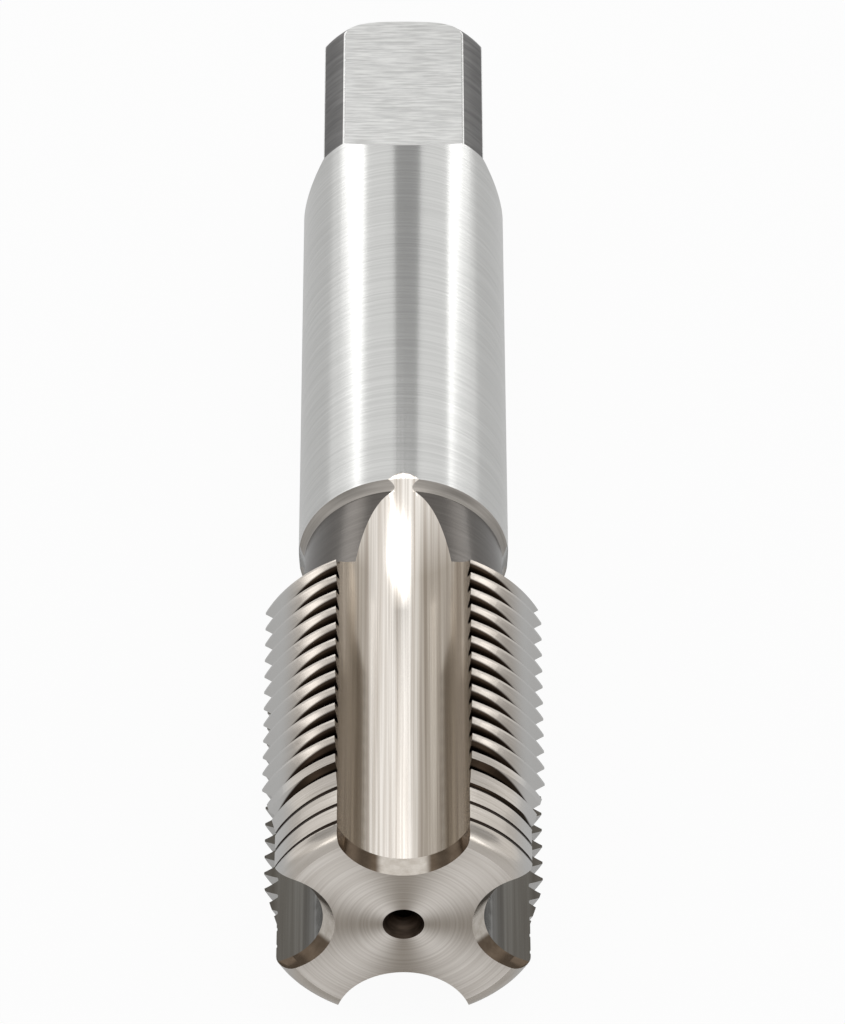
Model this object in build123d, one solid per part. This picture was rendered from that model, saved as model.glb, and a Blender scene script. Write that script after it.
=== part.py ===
"""Hand tap, M20 x 1.5, right hand, ground from one round bar of high speed steel.

The tap is built along its own axis, cutting end at z = 0 and drive end at the top.
At the end it is laid down as it rests, on two of its four lands, cutting end to the front.
"""
import math
import os

from build123d import *

# Whole tool, in millimetres
overall_length = 85.0

# Thread
thread_diameter = 20.0
pitch = 1.5
thread_length = 24.3
flank_angle = 30.0
crest_flat = pitch / 8
root_flat = pitch / 6

# Cutting end: a short plain pilot, then the tapered lead up to the full thread
pilot_length = 4.1
lead_length = 7.6
lead_angle = 15.5
rim_round = 1.2

# Neck, between the thread and the shank, a little slimmer than the shank where it meets it
neck_relief = 0.4
neck_taper_angle = 5.3
back_bevel_angle = 48.0
neck_fillet = 1.45

# Shank
shank_diameter = 14.0
shank_start = 34.4

# Flutes
flute_count = 4
flute_radius = 4.4
core_radius = 5.1
flute_wheel_radius = 35.0
flute_into_shank = 0.6
flute_lift_angle = 60.0
mouth_bevel = 0.75

# Square for the tap wrench
square_width = 11.2
square_length = 13.8
square_runout_angle = 36.0
end_round = 1.6

# Centre holes, one in each end
centre_mouth_diameter = 2.65
centre_drill_diameter = 1.25
centre_drill_depth = 3.2
centre_angle = 60.0
drill_point_angle = 118.0

# How far the cutters reach outside the steel, and how far the flanks of the thread groove run on there
cutter_room = 1.0
flank_overrun = 0.1

thread_radius = thread_diameter / 2
pilot_radius = thread_radius - (lead_length - pilot_length) * math.tan(math.radians(lead_angle))
shank_radius = shank_diameter / 2
neck_radius = shank_radius - neck_relief


def centre_outline():
    """Half outline of a sixty degree centre, as (radius, depth), from its drill point out to its mouth."""
    mouth = centre_mouth_diameter / 2
    drill = centre_drill_diameter / 2
    cone = (mouth - drill) / math.tan(math.radians(centre_angle / 2))
    point = drill / math.tan(math.radians(drill_point_angle / 2))
    return [
        (0, centre_drill_depth + point),
        (drill, centre_drill_depth),
        (drill, cone),
        (mouth, 0),
    ]


def turned_profile():
    """Bar turned to rim, pilot, lead, thread, bevel, neck, shank and rounded end, with a centre in each end."""
    sweep_angle = math.degrees(math.acos(1 - neck_relief / neck_fillet))
    fillet_start = shank_start - neck_fillet * math.sin(math.radians(sweep_angle))
    bevel_slope = math.tan(math.radians(back_bevel_angle))
    neck_slope = math.tan(math.radians(neck_taper_angle))
    drop_to_neck = thread_radius - neck_radius - neck_slope * (fillet_start - thread_length)
    neck_start = thread_length + drop_to_neck / (bevel_slope - neck_slope)
    rim_centre = (pilot_radius - rim_round, rim_round)
    round_centre = (shank_radius - end_round, overall_length - end_round)

    with BuildPart() as bar:
        with BuildSketch(Plane.XZ):
            with BuildLine():
                Polyline(*centre_outline(), (rim_centre[0], 0))
                CenterArc(rim_centre, rim_round, -90, 90)
                Polyline(
                    (pilot_radius, rim_round),
                    (pilot_radius, pilot_length),
                    (thread_radius, lead_length),
                    (thread_radius, thread_length),
                    (neck_radius + neck_slope * (fillet_start - neck_start), neck_start),
                    (neck_radius, fillet_start),
                )
                CenterArc((neck_radius + neck_fillet, fillet_start), neck_fillet, 180, -sweep_angle)
                Line((shank_radius, shank_start), (shank_radius, round_centre[1]))
                CenterArc(round_centre, end_round, 0, 90)
                back_centre = [(radius, overall_length - depth) for radius, depth in reversed(centre_outline())]
                Polyline((round_centre[0], overall_length), *back_centre, centre_outline()[0])
            make_face()
        revolve(axis=Axis.Z)
    return bar.part


def threaded_bar():
    """Bar of the thread's diameter, with a helical groove of 60 degree flanks from below the tip to the neck."""
    depth = (pitch - crest_flat - root_flat) / 2 / math.tan(math.radians(flank_angle))
    mouth = (pitch - crest_flat) / 2 + flank_overrun * math.tan(math.radians(flank_angle))
    path = Helix(
        pitch=pitch,
        height=thread_length + 3 * pitch,
        radius=thread_radius - depth,
        center=(0, 0, -pitch),
    )
    with BuildPart() as groove:
        with BuildSketch(Plane(origin=path @ 0, x_dir=(1, 0, 0), z_dir=path % 0)):
            with BuildLine():
                Polyline(
                    (0, root_flat / 2),
                    (depth + flank_overrun, mouth),
                    (depth + cutter_room, mouth),
                    (depth + cutter_room, -mouth),
                    (depth + flank_overrun, -mouth),
                    (0, -root_flat / 2),
                    close=True,
                )
            make_face()
        sweep(path=path, is_frenet=True)
    bar = Cylinder(
        thread_radius,
        overall_length + 4 * pitch,
        align=(Align.CENTER, Align.CENTER, Align.MIN),
    )
    return Pos(0, 0, -3 * pitch) * bar - groove.part


def flute_cutter():
    """Path of the flute wheel: straight along the thread, then out through the neck on its radius.

    At the cutting end the same round section runs on inwards at 45 degrees, which bevels the flute's floor.
    """
    rise = shank_radius - core_radius
    runout = math.sqrt(2 * flute_wheel_radius * rise - rise**2)
    straight_end = shank_start + flute_into_shank - runout
    centre = core_radius + flute_radius
    arc_radius = flute_wheel_radius - flute_radius
    with BuildPart() as cutter:
        with BuildLine(Plane.XZ) as path:
            Line((centre, -cutter_room), (centre, straight_end))
            JernArc((centre, straight_end), (0, 1), arc_radius, -flute_lift_angle)
        with BuildSketch(Plane((centre, 0, -cutter_room))):
            Circle(flute_radius)
        sweep(path=path.line)
        with BuildSketch(Plane((centre, 0, mouth_bevel))):
            Circle(flute_radius)
        extrude(amount=-math.sqrt(2) * (mouth_bevel + cutter_room), dir=(1, 0, 1))
    return cutter.part


def square_cutter():
    """Block that leaves one flat of the square, with the slope where the wheel lifts out."""
    flat = square_width / 2
    foot = overall_length - square_length
    reach = shank_radius + cutter_room
    slope = (reach - flat) / math.tan(math.radians(square_runout_angle))
    with BuildPart() as cutter:
        with BuildSketch(Plane.XZ):
            with BuildLine():
                Polyline(
                    (flat, overall_length + cutter_room),
                    (flat, foot),
                    (reach, foot - slope),
                    (reach, overall_length + cutter_room),
                    close=True,
                )
            make_face()
        extrude(amount=shank_diameter, both=True)
    return cutter.part


def ground_tap():
    """The threaded bar turned to profile, then fluted and squared, standing on its cutting end."""
    tap = threaded_bar() & turned_profile()
    for flute in range(flute_count):
        tap -= Rot(0, 0, 90 + flute * 360 / flute_count) * flute_cutter()
    for side in range(4):
        tap -= Rot(0, 0, 90 * side) * square_cutter()
    return tap


def laid_down(tap):
    """Axis along +Y, one flute up and one down, the lower lands on z = 0, centred in x and y."""
    lying = Rot(-90, 0, 0) * tap
    box = lying.bounding_box()
    return Pos(-box.center().X, -box.center().Y, -box.min.Z) * lying


hand_tap = laid_down(ground_tap())
hand_tap.label = "hand_tap"

os.makedirs("parts", exist_ok=True)
export_step(hand_tap, "parts/hand_tap.step")
print("volume mm3", round(hand_tap.volume, 1), "solids", len(hand_tap.solids()))
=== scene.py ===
# Hand tap lying on two of its lands, seen from above its cutting end
import math

import bmesh
import bpy
from mathutils import Matrix, Vector


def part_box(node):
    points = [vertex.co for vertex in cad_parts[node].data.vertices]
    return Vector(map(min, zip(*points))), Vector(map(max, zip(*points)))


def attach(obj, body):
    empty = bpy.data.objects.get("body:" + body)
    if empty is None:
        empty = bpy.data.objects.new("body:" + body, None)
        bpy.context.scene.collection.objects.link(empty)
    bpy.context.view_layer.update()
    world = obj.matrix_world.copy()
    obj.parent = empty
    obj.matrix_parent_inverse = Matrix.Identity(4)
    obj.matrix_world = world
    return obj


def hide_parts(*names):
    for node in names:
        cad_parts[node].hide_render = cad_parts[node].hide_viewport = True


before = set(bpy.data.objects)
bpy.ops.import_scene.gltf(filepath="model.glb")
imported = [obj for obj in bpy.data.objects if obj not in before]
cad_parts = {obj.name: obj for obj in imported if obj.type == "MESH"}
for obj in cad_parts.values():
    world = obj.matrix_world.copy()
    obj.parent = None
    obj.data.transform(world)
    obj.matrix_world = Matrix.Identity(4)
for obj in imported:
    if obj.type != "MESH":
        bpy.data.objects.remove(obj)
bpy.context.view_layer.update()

tapLow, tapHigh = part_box("hand_tap")
axisHeight = (tapLow[2] + tapHigh[2]) / 2        # metres above the floor
tipY = tapLow[1]                                 # metres, face of the cutting end
lengthMm = (tapHigh[1] - tapLow[1]) * 1000
print("frame loaded, tap length", round(lengthMm, 2), "mm")

# The tap is cut in millimetres with its axis on Y and its cutting end at y = 0, then moved into the frame
weldDistance = 0.0005        # millimetres, under which two corners are one
pickDistance = 0.001         # millimetres, within which an edge is where it is looked for

# Finishes in the order of the tap's material slots
finishes = [
    "groundShank",
    "squareFlat",
    "squareCorner",
    "burnishedEdgeHighlight",
    "turnedNeck",
    "neckFillet",
    "groundFlute",
    "mouthBevel",
    "threadFlank",
    "threadCrest",
    "facedEnd",
    "shadedCentreHole",
]


def tan(degrees):
    return math.tan(math.radians(degrees))


def vertsOf(parts):
    return [part for part in parts if isinstance(part, bmesh.types.BMVert)]


def closed(shape):
    # Fills the open ends and points every face outwards
    bmesh.ops.holes_fill(shape, edges=shape.edges)
    bmesh.ops.recalc_face_normals(shape, faces=shape.faces)
    return shape


def finishAll(shape, finish):
    for face in shape.faces:
        face.material_index = finishes.index(finish)
    return shape


def spunProfile(corners, steps):
    # A solid of revolution about Y from its outline, closed on the axis
    shape = bmesh.new()
    verts = [shape.verts.new((radius, y, 0)) for radius, y in corners]
    edges = [shape.edges.new(pair) for pair in zip(verts, verts[1:])]
    bmesh.ops.spin(shape, geom=verts + edges, cent=(0, 0, 0), axis=(0, 1, 0),
                   angle=2 * math.pi, steps=steps, use_merge=True)
    bmesh.ops.remove_doubles(shape, verts=shape.verts, dist=weldDistance)
    bmesh.ops.recalc_face_normals(shape, faces=shape.faces)
    return shape


def roundRing(shape, radius, y, width, segments):
    # Rounds the edge that runs round the bar at this radius and this place along it
    def onRing(vert):
        offAxis = math.hypot(vert.co.x, vert.co.z)
        return abs(offAxis - radius) < pickDistance and abs(vert.co.y - y) < pickDistance

    ring = [edge for edge in shape.edges if all(onRing(vert) for vert in edge.verts)]
    bmesh.ops.bevel(shape, geom=ring, offset=width, offset_type="OFFSET", affect="EDGES",
                    segments=segments, profile=0.5, material=-1)


# Turned bar, from the pilot to the rounded drive end
bar = {
    "threadRadius": 10.0,
    "threadEnd": 24.3,
    "pilotLength": 4.1,
    "leadLength": 7.6,
    "leadAngle": 14.0,
    "rimRound": 1.2,
    "rimSegments": 8,
    "backBevelAngle": 48.0,
    "shankRadius": 7.0,
    "shankStart": 34.4,
    "neckRelief": 0.4,
    "neckTaper": 5.3,
    "neckFillet": 0.55,
    "filletRise": 0.42,
    "filletSegments": 6,
    "filletBand": 0.8,        # stretch before the shank that catches the light as its fillet
    "endRound": 1.6,
    "endSegments": 10,
    "steps": 192,
}


def isEndFace(face):
    return abs(face.normal.y) > 0.999        # its normal lies along the axis


def turnedBar():
    neckRadius = bar["shankRadius"] - bar["neckRelief"]
    pilotRadius = bar["threadRadius"] - (bar["leadLength"] - bar["pilotLength"]) * tan(bar["leadAngle"])
    filletCorner = bar["shankStart"] - bar["filletRise"]
    bevelSlope, neckSlope = tan(bar["backBevelAngle"]), tan(bar["neckTaper"])
    drop = bar["threadRadius"] - neckRadius - neckSlope * (filletCorner - bar["threadEnd"])
    neckStart = bar["threadEnd"] + drop / (bevelSlope - neckSlope)
    shape = spunProfile([
        (0, 0),
        (pilotRadius, 0),
        (pilotRadius, bar["pilotLength"]),
        (bar["threadRadius"], bar["leadLength"]),
        (bar["threadRadius"], bar["threadEnd"]),
        (neckRadius + neckSlope * (filletCorner - neckStart), neckStart),
        (neckRadius, filletCorner),
        (bar["shankRadius"], bar["shankStart"]),
        (bar["shankRadius"], lengthMm),
        (0, lengthMm),
    ], bar["steps"])
    roundRing(shape, pilotRadius, 0, bar["rimRound"], bar["rimSegments"])
    roundRing(shape, neckRadius, filletCorner, bar["neckFillet"], bar["filletSegments"])
    roundRing(shape, bar["shankRadius"], lengthMm, bar["endRound"], bar["endSegments"])

    for face in shape.faces:
        y = face.calc_center_median().y
        if isEndFace(face):
            finish = "facedEnd"
        elif y < bar["threadEnd"]:
            finish = "threadCrest"
        elif y < bar["shankStart"] - bar["filletBand"]:
            finish = "turnedNeck"
        elif y < bar["shankStart"]:
            finish = "neckFillet"
        else:
            finish = "groundShank"
        face.material_index = finishes.index(finish)
    return shape


# Square for the tap wrench: four flats, with what is left of the round bar as its corners
square = {
    "width": 11.2,
    "length": 13.8,
    "runoutAngle": 36.0,
    "burnishHighlightWidth": 0.09,
    "alongShare": 0.9,    # of an edge's length, above which it counts as a long edge of the square
    "reach": 1.0,         # how far the wheel reaches outside the bar
}
squareFoot = lengthMm - square["length"]


def splitAtSquare(shape):
    # The corners of the square have their own finish from the foot of its flats to the end
    bmesh.ops.bisect_plane(shape, geom=shape.verts[:] + shape.edges[:] + shape.faces[:],
                           plane_co=(0, squareFoot, 0), plane_no=(0, 1, 0))
    for face in shape.faces:
        if face.calc_center_median().y > squareFoot and not isEndFace(face):
            face.material_index = finishes.index("squareCorner")


def squareWheel(turn):
    # A block that leaves one flat, with the slope where the wheel lifts out
    flat = square["width"] / 2
    outside = bar["shankRadius"] + square["reach"]
    slope = (outside - flat) / tan(square["runoutAngle"])
    end = lengthMm + square["reach"]
    section = [(squareFoot, flat), (squareFoot - slope, outside), (end, outside), (end, flat)]
    shape = bmesh.new()
    face = shape.faces.new([shape.verts.new((-outside, y, z)) for y, z in section])
    verts = vertsOf(bmesh.ops.extrude_face_region(shape, geom=[face])["geom"])
    bmesh.ops.translate(shape, verts=verts, vec=(2 * outside, 0, 0))
    bmesh.ops.rotate(shape, verts=shape.verts, matrix=Matrix.Rotation(turn, 3, "Y"))
    return closed(shape)


def runsAlong(edge):
    rise = abs(edge.verts[0].co.y - edge.verts[1].co.y)
    return rise > square["alongShare"] * edge.calc_length()


def burnishAndHighlightSquare(piece):
    # The long edges of the square are worn by the wrench and carry a painted highlight
    shape = bmesh.new()
    shape.from_mesh(piece.data)
    pair = {finishes.index("squareFlat"), finishes.index("squareCorner")}
    edges = [edge for edge in shape.edges
             if {face.material_index for face in edge.link_faces} == pair and runsAlong(edge)]
    bmesh.ops.bevel(shape, geom=edges, offset=square["burnishHighlightWidth"], offset_type="OFFSET", affect="EDGES",
                    segments=1, profile=0.5, material=finishes.index("burnishedEdgeHighlight"))
    shape.to_mesh(piece.data)
    shape.free()


# Thread groove, sixty degrees between its flanks
thread = {
    "pitch": 1.5,
    "crestFlat": 1.5 / 8,
    "rootFlat": 1.5 / 6,
    "flankAngle": 30.0,
    "overrun": 0.1,        # how far the flanks run on outside the steel
    "reach": 1.0,          # how far the cutter reaches outside the bar
    "stepsPerTurn": 144,
    "turns": 19,
}


def threadGroove():
    # A right-hand helix: the groove's section turns about Y as it climbs one pitch a turn
    pitch, slope = thread["pitch"], tan(thread["flankAngle"])
    depth = (pitch - thread["crestFlat"] - thread["rootFlat"]) / 2 / slope
    mouth = (pitch - thread["crestFlat"]) / 2 + thread["overrun"] * slope
    root = bar["threadRadius"] - depth
    flanksEnd = bar["threadRadius"] + thread["overrun"]
    outside = bar["threadRadius"] + thread["reach"]
    section = [
        (root, thread["rootFlat"] / 2),
        (flanksEnd, mouth),
        (outside, mouth),
        (outside, -mouth),
        (flanksEnd, -mouth),
        (root, -thread["rootFlat"] / 2),
    ]
    shape = bmesh.new()
    corners = [shape.verts.new((radius, y - pitch, 0)) for radius, y in section]
    loop = [shape.edges.new(pair) for pair in zip(corners, corners[1:] + corners[:1])]
    steps = thread["stepsPerTurn"]
    bmesh.ops.spin(shape, geom=corners + loop, cent=(0, 0, 0), axis=(0, 1, 0), dvec=(0, pitch / steps, 0),
                   angle=2 * math.pi, steps=steps)
    turn = shape.verts[:] + shape.edges[:] + shape.faces[:]
    for _ in range(thread["turns"] - 1):
        turn = bmesh.ops.duplicate(shape, geom=turn)["geom"]
        bmesh.ops.translate(shape, verts=vertsOf(turn), vec=(0, pitch, 0))
    bmesh.ops.remove_doubles(shape, verts=shape.verts, dist=weldDistance)
    return closed(shape)


# Flute, cut by a wheel with a round edge
flute = {
    "radius": 4.4,
    "core": 5.1,
    "wheelRadius": 35.0,
    "intoShank": 0.6,
    "mouthBevel": 0.75,
    "reach": 1.0,          # how far the wheel reaches outside the cutting end
    "segments": 112,
    "arcSteps": 40,
    "arcAngle": 60.0,
}


def fluteWheel(turn):
    # The wheel's path: in at 45 degrees, straight along the thread, then out on the wheel's own radius
    rise = bar["shankRadius"] - flute["core"]
    runout = math.sqrt(2 * flute["wheelRadius"] * rise - rise ** 2)
    straightEnd = bar["shankStart"] + flute["intoShank"] - runout
    middle = flute["core"] + flute["radius"]
    arcRadius = flute["wheelRadius"] - flute["radius"]
    bevel = flute["mouthBevel"] + flute["reach"]

    shape = bmesh.new()
    place = Matrix.Translation((0, -flute["reach"], middle - bevel)) @ Matrix.Rotation(-math.pi / 2, 4, "X")
    bmesh.ops.create_circle(shape, segments=flute["segments"], radius=flute["radius"], matrix=place)
    ring = shape.edges[:]
    for step in [(0, bevel, bevel), (0, straightEnd - flute["mouthBevel"], 0)]:
        verts = vertsOf(bmesh.ops.extrude_edge_only(shape, edges=ring)["geom"])
        bmesh.ops.translate(shape, verts=verts, vec=step)
        ring = [edge for edge in shape.edges if all(vert in verts for vert in edge.verts)]
    bmesh.ops.spin(shape, geom=ring, cent=(0, straightEnd, middle + arcRadius), axis=(1, 0, 0),
                   angle=math.radians(flute["arcAngle"]), steps=flute["arcSteps"])
    bmesh.ops.rotate(shape, verts=shape.verts, matrix=Matrix.Rotation(turn, 3, "Y"))
    closed(shape)
    for face in shape.faces:
        finish = "mouthBevel" if face.calc_center_median().y < flute["mouthBevel"] else "groundFlute"
        face.material_index = finishes.index(finish)
    return shape


# Centre hole, sixty degrees, with its drilled bottom
centre = {
    "mouthRadius": 1.325,
    "drillRadius": 0.625,
    "drillDepth": 3.2,
    "coneHalfAngle": 30.0,
    "pointHalfAngle": 59.0,
    "reach": 0.5,          # how far the drill reaches outside the end face
    "steps": 64,
}


def centreDrill(faceY, inwards):
    cone = tan(centre["coneHalfAngle"])
    mouth, drill = centre["mouthRadius"], centre["drillRadius"]
    outline = [
        (0, -centre["reach"]),
        (mouth + centre["reach"] * cone, -centre["reach"]),
        (drill, (mouth - drill) / cone),
        (drill, centre["drillDepth"]),
        (0, centre["drillDepth"] + drill / tan(centre["pointHalfAngle"])),
    ]
    return spunProfile([(radius, faceY + inwards * depth) for radius, depth in outline], centre["steps"])


def toObject(shape, name):
    mesh = bpy.data.meshes.new(name)
    shape.to_mesh(mesh)
    shape.free()
    piece = bpy.data.objects.new(name, mesh)
    bpy.context.scene.collection.objects.link(piece)
    return piece


def cut(piece, shape, name):
    # Takes the shape away from the piece; its faces keep the finish of the tool that cut them
    tool = toObject(shape, name)
    for material in piece.data.materials:
        tool.data.materials.append(material)
    step = piece.modifiers.new(name, "BOOLEAN")
    step.operation = "DIFFERENCE"
    step.solver = "MANIFOLD"
    step.object = tool
    graph = bpy.context.evaluated_depsgraph_get()
    old = piece.data
    piece.data = bpy.data.meshes.new_from_object(piece.evaluated_get(graph), depsgraph=graph)
    piece.modifiers.clear()
    bpy.data.meshes.remove(old)
    bpy.data.meshes.remove(tool.data)
    print("cut", name, len(piece.data.polygons), "faces")


def linear(hexColour):
    # A colour as it is written for screens, turned into amounts of light
    def channel(value):
        return value / 12.92 if value <= 0.04045 else ((value + 0.055) / 1.055) ** 2.4

    parts = [int(hexColour[i:i + 2], 16) / 255 for i in (1, 3, 5)]
    return [channel(part) for part in parts] + [1.0]


def addNode(tree, kind, settings=None, inputs=None):
    # One node with its settings; an input is a value, an output, or a node whose first output feeds it
    node = tree.nodes.new(kind)
    for name, value in (settings or {}).items():
        setattr(node, name, value)
    for name, value in (inputs or {}).items():
        source = value.outputs[0] if isinstance(value, bpy.types.Node) else value
        if isinstance(source, bpy.types.NodeSocket):
            tree.links.new(source, node.inputs[name])
        else:
            node.inputs[name].default_value = source
    return node


def newMaterial(name):
    material = bpy.data.materials.new(name)
    material.use_nodes = True
    material.node_tree.nodes.clear()
    return material, material.node_tree


# High speed steel throughout, so each finish is metal and differs in how it was made. Cutting oil and
# heat turn the fluted end warm, and the shank stays a cool silver. Real grinding and turning lines are
# some 0.03 mm apart, too fine to show, so each spacing is as coarse as it takes to see them.
# Spacing and reach of the lines are in millimetres: across them and along them.
steelLooks = {
    # Ground between wheels: fine rings round the bar draw its highlights out along it, soft and bright
    "groundShank": {
        "light": "#cfcfcd", "dark": "#c3c3c1", "roughness": 0.19, "anisotropic": 0.25, "stretch": "axis",
        "lines": "round", "spacing": 0.16, "reach": 12.0, "relief": 0.006},
    # Surface ground across the bar: a matt silver with short streaks
    "squareFlat": {
        "light": "#ebebe9", "dark": "#cdcdcb", "roughness": 0.42, "anisotropic": 0.3, "stretch": "axis",
        "lines": "round", "spacing": 0.2, "reach": 2.0, "relief": 0.04},
    # Left as hardened, not ground: dark grey beside the bright flats
    "squareCorner": {
        "light": "#6f6e6d", "dark": "#595857", "roughness": 0.35, "anisotropic": 0.3, "stretch": "axis",
        "lines": "round", "spacing": 0.3, "reach": 4.0, "relief": 0.03},
    # Polished by the wrench and painted near white as a highlight: a thin white line along each corner
    "burnishedEdgeHighlight": {
        "light": "#fbfbf9", "dark": "#efefed", "roughness": 0.25, "anisotropic": 0.0, "stretch": "axis",
        "lines": "round", "spacing": 0.3, "reach": 4.0, "relief": 0.002},
    # Turned before hardening and not ground after it: dark, with a dull shine
    "turnedNeck": {
        "light": "#605c58", "dark": "#54504c", "roughness": 0.22, "anisotropic": 0.4, "stretch": "axis",
        "lines": "round", "spacing": 0.2, "reach": 6.0, "relief": 0.01},
    # Touched by the shank's wheel, and painted pale as the fillet's highlight: a band between neck and shank
    "neckFillet": {
        "light": "#a7a29c", "dark": "#928d87", "roughness": 0.4, "anisotropic": 0.3, "stretch": "axis",
        "lines": "round", "spacing": 0.2, "reach": 6.0, "relief": 0.01},
    # Ground by the flute wheel: long streaks down the flute, and a bright floor between walls of painted
    # shade
    "groundFlute": {
        "light": "#f6f1ea", "dark": "#c4bbb1", "roughness": 0.18, "anisotropic": 0.4, "stretch": "across",
        "lines": "flute", "spacing": 0.3, "reach": 45.0, "relief": 0.01},
    # Where the flute wheel came in: smooth, bright in the middle, with sides browned by painted dark
    # reflection
    "mouthBevel": {
        "light": "#cfc8bf", "dark": "#bdb5ab", "roughness": 0.2, "anisotropic": 0.0, "stretch": "axis",
        "lines": "round", "spacing": 0.3, "reach": 0.6, "relief": 0.004},
    # Ground to form: a smooth warm grey that mirrors the lights in a narrow streak
    "threadFlank": {
        "light": "#b8b1a9", "dark": "#a8a199", "roughness": 0.17, "anisotropic": 0.0, "stretch": "axis",
        "lines": "round", "spacing": 0.15, "reach": 5.0, "relief": 0.008},
    # Ground round, as the shank is: painted a little lighter than the flanks, as a highlight
    "threadCrest": {
        "light": "#cac3bb", "dark": "#b9b2a9", "roughness": 0.22, "anisotropic": 0.3, "stretch": "axis",
        "lines": "round", "spacing": 0.15, "reach": 5.0, "relief": 0.008},
    # Faced on the lathe: rings about the centre, with light fanned out along the diagonals, helped by a
    # painted highlight
    "facedEnd": {
        "light": "#ebe5de", "dark": "#d7d0c8", "roughness": 0.3, "anisotropic": 0.8, "stretch": "radius",
        "lines": "rings", "spacing": 0.14, "reach": 12.0, "relief": 0.02},
    # Drilled: nearly black brown, painted shade in the hole
    "shadedCentreHole": {
        "light": "#5d5147", "dark": "#352c25", "roughness": 0.38, "anisotropic": 0.0, "stretch": "axis",
        "lines": "round", "spacing": 0.4, "reach": 4.0, "relief": 0.02},
}


def fromAxis(tree):
    # Where a point lies, seen from the tap's axis
    place = addNode(tree, "ShaderNodeTexCoord").outputs["Object"]
    return addNode(tree, "ShaderNodeVectorMath", {"operation": "SUBTRACT"}, {
        0: place, 1: (0, 0, axisHeight)})


def placeParts(tree):
    # The same place as its distances to the right, along the tap and up
    return addNode(tree, "ShaderNodeSeparateXYZ", inputs={0: fromAxis(tree)}).outputs


def axisDistance(tree):
    flat = addNode(tree, "ShaderNodeVectorMath", {"operation": "MULTIPLY"}, {
        0: fromAxis(tree), 1: (1, 0, 1)})
    return addNode(tree, "ShaderNodeVectorMath", {"operation": "LENGTH"}, {0: flat}).outputs["Value"]


def middleDistance(tree):
    # Distance from the upright plane through the axis
    return addNode(tree, "ShaderNodeMath", {"operation": "ABSOLUTE"}, {0: placeParts(tree)["X"]})


def inUprightFlutes(tree):
    # 1 in the upper and lower flutes, 0 in the side ones
    sizes = addNode(tree, "ShaderNodeVectorMath", {"operation": "ABSOLUTE"}, {0: fromAxis(tree)})
    parts = addNode(tree, "ShaderNodeSeparateXYZ", inputs={0: sizes}).outputs
    return addNode(tree, "ShaderNodeMath", {"operation": "LESS_THAN"}, {0: parts["X"], 1: parts["Z"]})


def acrossFlute(tree):
    # Distance from the flute's middle line: sideways in the upper and lower flutes, up in the side ones
    parts = placeParts(tree)
    return addNode(tree, "ShaderNodeMix", {"data_type": "FLOAT"}, {
        0: inUprightFlutes(tree), 2: parts["Z"], 3: parts["X"]})


def linePattern(tree, look):
    # Fine lines left by the wheel or the tool, from noise that is drawn out along them
    fine, reach = 1000 / look["spacing"], 1000 / look["reach"]
    if look["lines"] == "flute":
        where = addNode(tree, "ShaderNodeCombineXYZ", inputs={
            "X": acrossFlute(tree), "Y": placeParts(tree)["Y"]})
        scale = (fine, reach, 1)
    elif look["lines"] == "rings":
        parts = placeParts(tree)
        where = addNode(tree, "ShaderNodeCombineXYZ", inputs={
            "X": parts["X"], "Y": axisDistance(tree), "Z": parts["Z"]})
        scale = (reach, fine, reach)
    else:
        where, scale = fromAxis(tree), (reach, fine, reach)
    stretched = addNode(tree, "ShaderNodeMapping", inputs={"Vector": where, "Scale": scale})
    return addNode(tree, "ShaderNodeTexNoise", inputs={
        "Vector": stretched, "Scale": 1.0, "Detail": 3.0, "Roughness": 0.6}).outputs["Fac"]


def stretchedAlong(tree, stretch):
    # The direction in which a highlight is drawn out, square to the lines
    if stretch == "axis":
        return addNode(tree, "ShaderNodeCombineXYZ", inputs={"Y": 1.0})
    if stretch == "across":
        normal = addNode(tree, "ShaderNodeNewGeometry").outputs["Normal"]
        return addNode(tree, "ShaderNodeVectorMath", {"operation": "CROSS_PRODUCT"}, {
            0: normal, 1: (0, 1, 0)})
    return fromAxis(tree)


# A tint multiplies the colour under it; a colour mix takes its share at input 0, its colours at 6 and 7,
# and gives the result at output 2
multiplied = {"data_type": "RGBA", "blend_type": "MULTIPLY"}
smooth = {"interpolation_type": "SMOOTHSTEP"}

# Painted shade leaves a flute's walls a duller tan beside its bright floor, in millimetres: across the flute
# from the middle of the bright stretch, and along the tap from its middle
fluteWallShade = {
    "middle": -0.7,
    "bright": 0.9,
    "dull": 2.1,
    "fadeStart": -16.0,
    "fadeEnd": -9.0,
    "tint": "#b9b4ad",
}


def wallShadeTint(tree, colour):
    offset = addNode(tree, "ShaderNodeMath", {"operation": "SUBTRACT"}, {
        0: acrossFlute(tree), 1: fluteWallShade["middle"] / 1000})
    sideways = addNode(tree, "ShaderNodeMath", {"operation": "ABSOLUTE"}, {0: offset})
    wall = addNode(tree, "ShaderNodeMapRange", smooth, {
        "Value": sideways, "From Min": fluteWallShade["bright"] / 1000, "From Max": fluteWallShade["dull"] / 1000})
    along = addNode(tree, "ShaderNodeMapRange", inputs={
        "Value": placeParts(tree)["Y"], "From Min": fluteWallShade["fadeEnd"] / 1000,
        "From Max": fluteWallShade["fadeStart"] / 1000})
    share = addNode(tree, "ShaderNodeMath", {"operation": "MULTIPLY"}, {0: wall, 1: along})
    return addNode(tree, "ShaderNodeMix", multiplied, {
        0: share, 6: colour, 7: linear(fluteWallShade["tint"])}).outputs[2]


# Painted shade greys the side flutes, which lie sheltered
sideFluteShade = {"tint": "#969a9d"}


def sideFluteShadeTint(tree, colour):
    share = addNode(tree, "ShaderNodeMath", {"operation": "SUBTRACT"}, {0: 1.0, 1: inUprightFlutes(tree)})
    return addNode(tree, "ShaderNodeMix", multiplied, {
        0: share, 6: colour, 7: linear(sideFluteShade["tint"])}).outputs[2]


# Painted dark reflection turns the outer thirds of the bevel dull brown, in millimetres from the flute's
# middle line
bevelSideShade = {"from": 1.3, "to": 1.8, "tint": "#85796d"}


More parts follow.
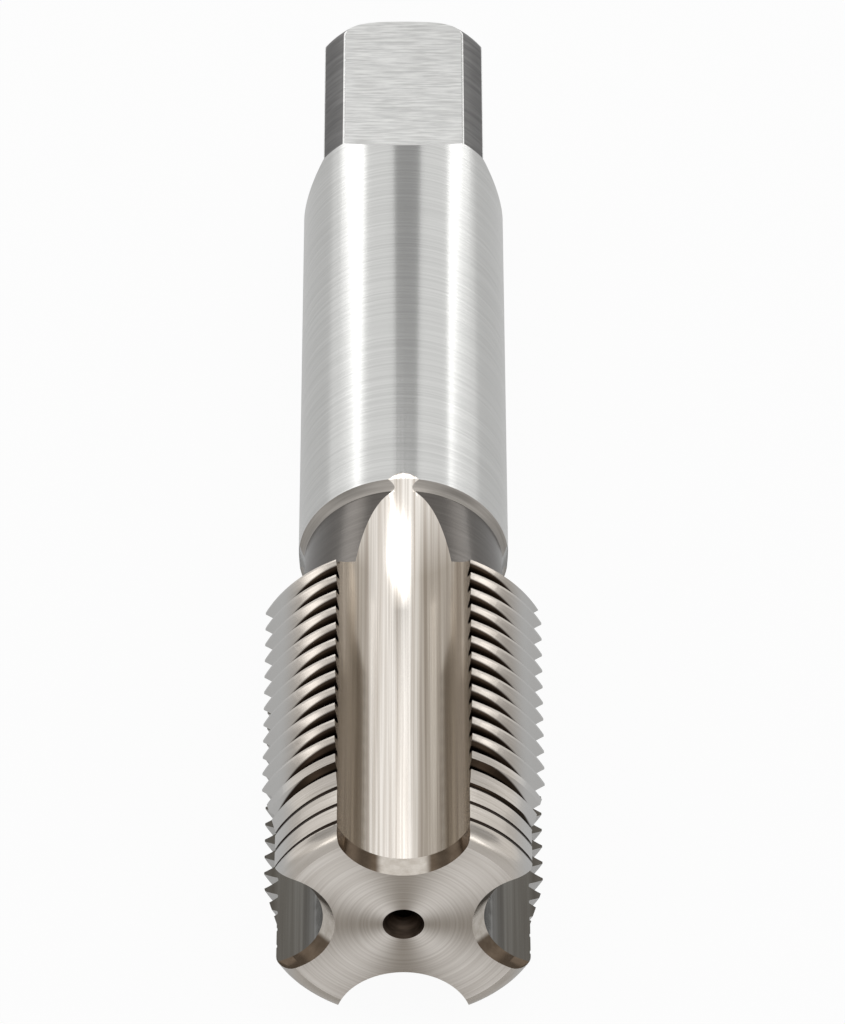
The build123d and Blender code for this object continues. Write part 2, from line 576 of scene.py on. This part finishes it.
def bevelShadeTint(tree, colour):
    sideways = addNode(tree, "ShaderNodeMath", {"operation": "ABSOLUTE"}, {0: acrossFlute(tree)})
    outer = addNode(tree, "ShaderNodeMapRange", smooth, {
        "Value": sideways, "From Min": bevelSideShade["from"] / 1000, "From Max": bevelSideShade["to"] / 1000})
    return addNode(tree, "ShaderNodeMix", multiplied, {
        0: outer, 6: colour, 7: linear(bevelSideShade["tint"])}).outputs[2]


# A painted reflection turns the outer sides of the thread a cooler grey, in millimetres from the middle
# plane
threadSideReflection = {"from": 6.6, "to": 8.0, "colour": "#c3c2c0"}


def threadSideReflectionTint(tree, colour):
    outer = addNode(tree, "ShaderNodeMapRange", smooth, {
        "Value": middleDistance(tree), "From Min": threadSideReflection["from"] / 1000,
        "From Max": threadSideReflection["to"] / 1000})
    return addNode(tree, "ShaderNodeMix", {"data_type": "RGBA"}, {
        0: outer, 6: colour, 7: linear(threadSideReflection["colour"])}).outputs[2]


# Painted shade darkens the roots of the thread beside the upper and lower flutes: between these distances
# from the tap's middle plane the shade reaches up to these radii, all in millimetres
threadRootShade = {
    "near": 4.4,
    "nearRadius": 9.76,
    "far": 8.0,
    "farRadius": 9.12,
    "soft": 0.07,
    "tint": "#3f362e",
}


def rootShadeTint(tree, colour):
    outwards = addNode(tree, "ShaderNodeMapRange", inputs={
        "Value": middleDistance(tree), "From Min": threadRootShade["near"] / 1000,
        "From Max": threadRootShade["far"] / 1000})
    bulge = addNode(tree, "ShaderNodeMath", {"operation": "POWER"}, {0: outwards, 1: 2.0})
    reach = addNode(tree, "ShaderNodeMath", {"operation": "MULTIPLY_ADD"}, {
        0: bulge, 1: (threadRootShade["farRadius"] - threadRootShade["nearRadius"]) / 1000,
        2: threadRootShade["nearRadius"] / 1000})
    below = addNode(tree, "ShaderNodeMath", {"operation": "SUBTRACT"}, {0: reach, 1: axisDistance(tree)})
    dark = addNode(tree, "ShaderNodeMapRange", smooth, {
        "Value": below, "From Min": -threadRootShade["soft"] / 1000, "From Max": threadRootShade["soft"] / 1000})
    return addNode(tree, "ShaderNodeMix", multiplied, {
        0: dark, 6: colour, 7: linear(threadRootShade["tint"])}).outputs[2]


# A painted highlight leaves a faced end brightest along its four diagonals, with this tint between them
facedDiagonalHighlight = {"tint": "#bbb7b2", "diagonals": 4.0}


def diagonalHighlightTint(tree, colour):
    parts = placeParts(tree)
    turn = addNode(tree, "ShaderNodeMath", {"operation": "ARCTAN2"}, {0: parts["Z"], 1: parts["X"]})
    turns = addNode(tree, "ShaderNodeMath", {"operation": "MULTIPLY"}, {
        0: turn, 1: facedDiagonalHighlight["diagonals"]})
    wave = addNode(tree, "ShaderNodeMath", {"operation": "COSINE"}, {0: turns})
    share = addNode(tree, "ShaderNodeMapRange", inputs={"Value": wave, "From Min": -1.0, "From Max": 1.0})
    return addNode(tree, "ShaderNodeMix", multiplied, {
        0: share, 6: colour, 7: linear(facedDiagonalHighlight["tint"])}).outputs[2]


tints = {
    "groundFlute": [wallShadeTint, sideFluteShadeTint],
    "mouthBevel": [bevelShadeTint],
    "threadFlank": [threadSideReflectionTint, rootShadeTint],
    "threadCrest": [threadSideReflectionTint],
    "facedEnd": [diagonalHighlightTint],
}

# The lines' noise is fully dark and fully light at these values, and their relief is this deep in metres
lineContrast = {"dark": 0.35, "light": 0.65, "depth": 0.0001}


def steel(name):
    look = steelLooks[name]
    material, tree = newMaterial(name)
    lines = linePattern(tree, look)
    shade = addNode(tree, "ShaderNodeMapRange", inputs={
        "Value": lines, "From Min": lineContrast["dark"], "From Max": lineContrast["light"]})
    colour = addNode(tree, "ShaderNodeMix", {"data_type": "RGBA"}, {
        0: shade, 6: linear(look["dark"]), 7: linear(look["light"])}).outputs[2]
    for tint in tints.get(name, []):
        colour = tint(tree, colour)
    relief = addNode(tree, "ShaderNodeBump", inputs={
        "Height": lines, "Strength": look["relief"], "Distance": lineContrast["depth"]})
    surface = addNode(tree, "ShaderNodeBsdfPrincipled", inputs={
        "Base Color": colour, "Metallic": 1.0, "Roughness": look["roughness"],
        "Anisotropic": look["anisotropic"], "Tangent": stretchedAlong(tree, look["stretch"]),
        "Normal": relief})
    addNode(tree, "ShaderNodeOutputMaterial", inputs={"Surface": surface})
    return material


steels = {name: steel(name) for name in finishes}
print("materials made")

body = turnedBar()
splitAtSquare(body)
handTap = toObject(body, "handTap")
for finish in finishes:
    handTap.data.materials.append(steels[finish])
cut(handTap, finishAll(threadGroove(), "threadFlank"), "thread groove")
for quarter in range(4):
    cut(handTap, fluteWheel(quarter * math.pi / 2), "flute")
for quarter in range(4):
    cut(handTap, finishAll(squareWheel(quarter * math.pi / 2), "squareFlat"), "flat")
cut(handTap, finishAll(centreDrill(0, 1), "shadedCentreHole"), "front centre")
cut(handTap, finishAll(centreDrill(lengthMm, -1), "shadedCentreHole"), "back centre")
burnishAndHighlightSquare(handTap)

# Into the frame, in metres, and shaded smooth where faces meet at less than this angle
sharpAngle = 28.0        # degrees
handTap.data.transform(Matrix.Translation((0, tipY, axisHeight)) @ Matrix.Scale(0.001, 4))
handTap.data.polygons.foreach_set("use_smooth", [True] * len(handTap.data.polygons))
handTap.data.set_sharp_from_angle(angle=math.radians(sharpAngle))
# Long faces set the shading of the corners they share with short ones
evenShading = handTap.modifiers.new("even shading", "WEIGHTED_NORMAL")
evenShading.keep_sharp = True
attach(handTap, "root")
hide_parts("hand_tap")
print("tap cut and placed,", len(handTap.data.polygons), "faces")

# Pale studio: the shares say how much of plain white the camera and the steel see in floor and world
studio = {
    "floorSize": 4.0,        # metres
    "floorTint": "#d2d2d2",
    "floorToCamera": 0.95,
    "floorToSteel": 0.3,
    "worldToCamera": 1.0,
    "worldToSteel": 1.0,
    "worldLight": 0.8,       # strength of the world as plain light
}


def whiteShare(tree, toCamera, toSteel):
    # One share for rays from the camera, one for those from glossy or clear surfaces, none for plain light
    path = addNode(tree, "ShaderNodeLightPath").outputs
    mirrored = addNode(tree, "ShaderNodeMath", {"operation": "MAXIMUM"}, {
        0: path["Is Glossy Ray"], 1: path["Is Transmission Ray"]})
    direct = addNode(tree, "ShaderNodeMath", {"operation": "MULTIPLY"}, {
        0: path["Is Camera Ray"], 1: toCamera})
    return addNode(tree, "ShaderNodeMath", {"operation": "MULTIPLY_ADD"}, {
        0: mirrored, 1: toSteel, 2: direct})


floorShape = bmesh.new()
bmesh.ops.create_grid(floorShape, x_segments=1, y_segments=1, size=studio["floorSize"] / 2)
studioFloor = toObject(floorShape, "studioFloor")
floorMaterial, tree = newMaterial("paleFloor")        # painted board: matt, so it keeps the tap's shadow
matt = addNode(tree, "ShaderNodeBsdfDiffuse", inputs={"Color": linear(studio["floorTint"])})
white = addNode(tree, "ShaderNodeEmission", inputs={"Color": linear("#ffffff"), "Strength": 1.0})
board = addNode(tree, "ShaderNodeMixShader", inputs={
    0: whiteShare(tree, studio["floorToCamera"], studio["floorToSteel"]), 1: matt, 2: white})
addNode(tree, "ShaderNodeOutputMaterial", inputs={"Surface": board})
studioFloor.data.materials.append(floorMaterial)

world = bpy.data.worlds.new("studio")
bpy.context.scene.world = world
world.use_nodes = True
tree = world.node_tree
tree.nodes.clear()
strength = addNode(tree, "ShaderNodeMapRange", inputs={
    "Value": whiteShare(tree, studio["worldToCamera"], studio["worldToSteel"]),
    "To Min": studio["worldLight"], "To Max": 1.0})
background = addNode(tree, "ShaderNodeBackground", inputs={"Color": linear("#ffffff"), "Strength": strength})
addNode(tree, "ShaderNodeOutputWorld", inputs={"Surface": background})


def facing(azimuth, elevation, distance):
    # A place around the tap that looks back at it; azimuth 0 is beyond its square, 90 is to its right
    turn, rise = math.radians(azimuth), math.radians(elevation)
    outwards = Vector((math.sin(turn) * math.cos(rise), math.cos(turn) * math.cos(rise), math.sin(rise)))
    return Matrix.Translation(outwards * distance) @ outwards.to_track_quat("Z", "Y").to_matrix().to_4x4()


# Soft boxes: degrees round the tap and above the floor, then metres, then brightness where 1 is white
softBoxes = {
    "leftSoftBox": {
        "azimuth": -32.4, "elevation": 17, "distance": 0.6, "width": 0.096, "height": 0.22, "radiance": 1.5},
    "rightSoftBox": {
        "azimuth": 34.7, "elevation": 14, "distance": 0.6, "width": 0.036, "height": 0.24, "radiance": 2.1},
    "topSoftBox": {
        "azimuth": 13, "elevation": 60, "distance": 0.7, "width": 0.34, "height": 0.24, "radiance": 1.8},
    "frontLeftSoftBox": {
        "azimuth": -148, "elevation": 12, "distance": 0.6, "width": 0.08, "height": 0.2, "radiance": 1.8},
    "frontRightSoftBox": {
        "azimuth": 148, "elevation": 12, "distance": 0.6, "width": 0.08, "height": 0.2, "radiance": 1.8},
}
for name, box in softBoxes.items():
    lamp = bpy.data.lights.new(name, "AREA")
    lamp.shape = "RECTANGLE"
    lamp.size, lamp.size_y = box["width"], box["height"]
    lamp.energy = box["radiance"] * math.pi * box["width"] * box["height"]
    lampObject = bpy.data.objects.new(name, lamp)
    lampObject.matrix_world = facing(box["azimuth"], box["elevation"], box["distance"])
    lampObject.visible_camera = False
    bpy.context.scene.collection.objects.link(lampObject)

# Grey cards that only the steel sees, as a photographer sets them to draw its form
cards = {
    "greyCard": {
        "azimuth": 3, "elevation": 37, "distance": 0.155, "width": 0.044, "height": 0.078, "grey": 0.38},
    "sideCardLeft": {
        "azimuth": -87, "elevation": 41, "distance": 0.5, "width": 0.21, "height": 0.36, "grey": 0.46},
    "sideCardRight": {
        "azimuth": 87, "elevation": 41, "distance": 0.5, "width": 0.21, "height": 0.36, "grey": 0.46},
    "frontCardLeft": {
        "azimuth": -113, "elevation": 32, "distance": 0.5, "width": 0.3, "height": 0.2, "grey": 0.5},
    "frontCardRight": {
        "azimuth": 113, "elevation": 32, "distance": 0.5, "width": 0.3, "height": 0.2, "grey": 0.5},
}
for name, card in cards.items():
    shape = bmesh.new()
    bmesh.ops.create_grid(shape, x_segments=1, y_segments=1, size=0.5)
    bmesh.ops.scale(shape, verts=shape.verts, vec=(card["width"], card["height"], 1))
    bmesh.ops.transform(shape, verts=shape.verts,
                        matrix=facing(card["azimuth"], card["elevation"], card["distance"]))
    piece = toObject(shape, name)
    material, tree = newMaterial(name)
    glow = addNode(tree, "ShaderNodeEmission", inputs={"Color": linear("#ffffff"), "Strength": card["grey"]})
    addNode(tree, "ShaderNodeOutputMaterial", inputs={"Surface": glow})
    piece.data.materials.append(material)
    piece.visible_camera = False
    piece.visible_diffuse = False
    piece.visible_shadow = False
    piece.visible_transmission = False
print("studio set")

# Camera at the photograph's angle, aimed past the cutting end along the tap: metres, degrees, millimetres
shot = {
    "distance": 0.44523,
    "height": 45.5156,
    "depression": 42.16,
    "lens": 247.17,
    "sensor": 36.0,
    "shiftX": 0.0186,
}
cameraData = bpy.data.cameras.new("camera")
cameraData.lens = shot["lens"]
cameraData.sensor_width = shot["sensor"]
cameraData.shift_x = shot["shiftX"]
camera = bpy.data.objects.new("camera", cameraData)
bpy.context.scene.collection.objects.link(camera)
height = math.radians(shot["height"])
back = Vector((0, -math.cos(height), math.sin(height)))
camera.location = Vector((0, tipY, axisHeight)) + shot["distance"] * back
camera.rotation_euler = (math.radians(90 - shot["depression"]), 0, 0)
bpy.context.scene.camera = camera
bpy.context.scene.view_settings.view_transform = "Standard"
